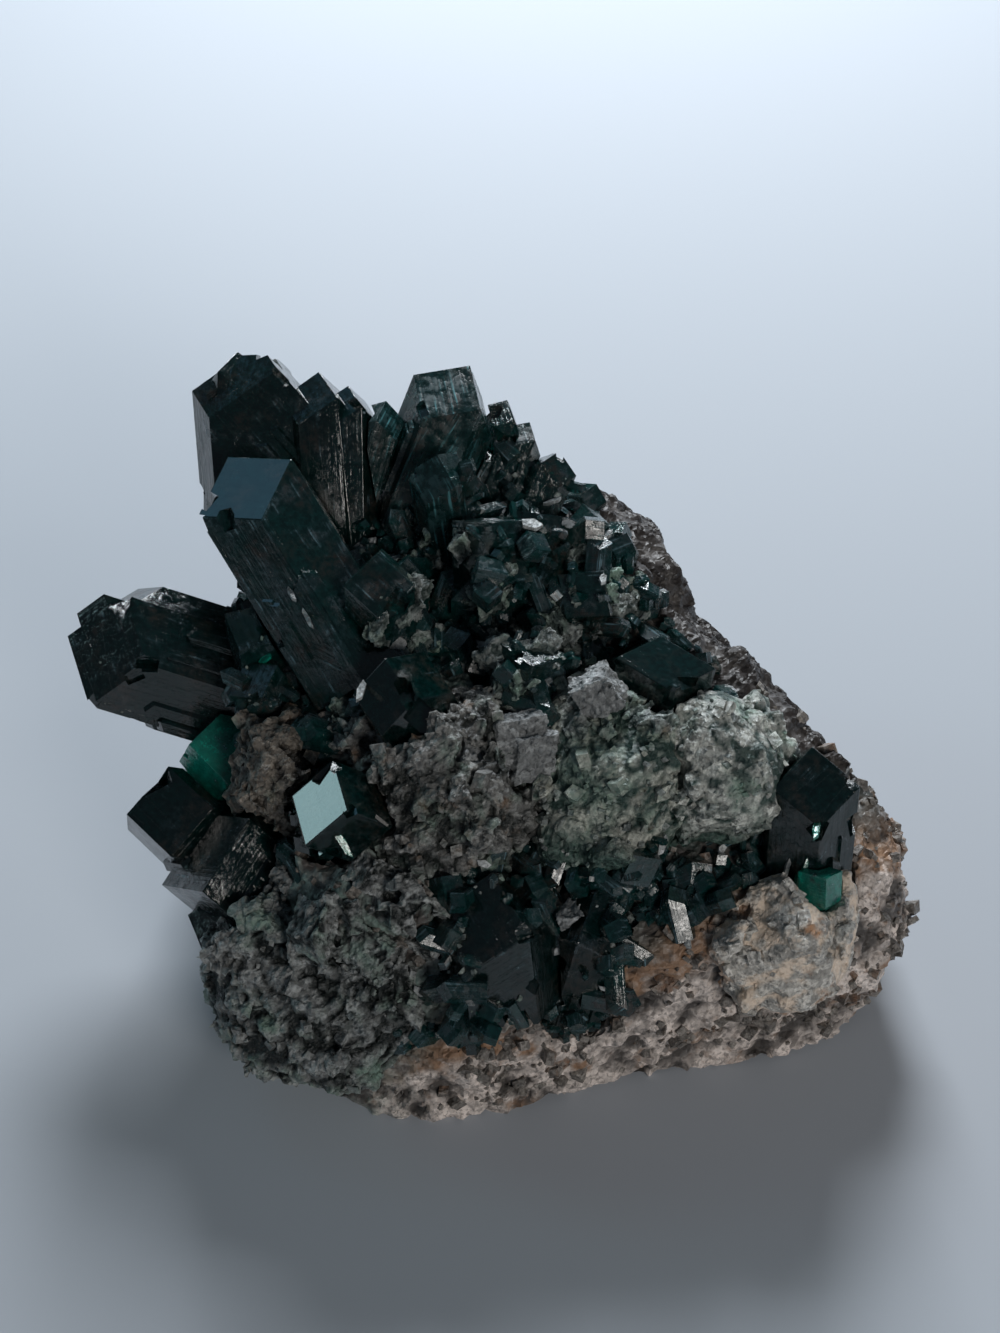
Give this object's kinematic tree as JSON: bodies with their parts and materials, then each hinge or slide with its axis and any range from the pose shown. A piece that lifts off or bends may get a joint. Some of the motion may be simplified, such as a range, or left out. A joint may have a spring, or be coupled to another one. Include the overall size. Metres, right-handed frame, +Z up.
{
  "type": "dioptase specimen",
  "caption": "Dark green dioptase crystals with pale calcite crusts on a broken block of host rock.",
  "frame": {"origin": "centre of the specimen's bounding box in plan, on the ground that it rests on", "axes": "+Z up, crystal-covered slope faces -Y, the long side runs along X"},
  "size_m": [0.0557, 0.0435, 0.0335],
  "materials": {
    "host_rock": "rough",
    "calcite": "rough",
    "dioptase": "polished"
  },
  "bodies": {
    "root": {"calcite_block": "calcite", "calcite_chip": "calcite", "calcite_crust_centre": "calcite", "calcite_crust_cream": "calcite", "calcite_crust_front_left": "calcite", "calcite_crust_green": "calcite", "calcite_crust_left": "calcite", "calcite_crust_right": "calcite", "calcite_plates": "calcite", "calcite_rhomb": "calcite", "crystal_dark_centre": "dioptase", "crystal_emerald": "dioptase", "crystal_green_centre": "dioptase", "crystal_mirror": "dioptase", "crystal_ridge": "dioptase", "crystal_right_end": "dioptase", "crystal_small_emerald": "dioptase", "crystal_window": "dioptase", "crystals_back_ridge": "dioptase", "crystals_crown": "dioptase", "crystals_front_centre": "dioptase", "crystals_front_left": "dioptase", "crystals_front_right": "dioptase", "crystals_left_shoulder": "dioptase", "crystals_left_wing": "dioptase", "crystals_summit": "dioptase", "crystals_upper_left": "dioptase", "crystals_upper_right": "dioptase", "matrix": "host_rock"}
  },
  "joints": []
}
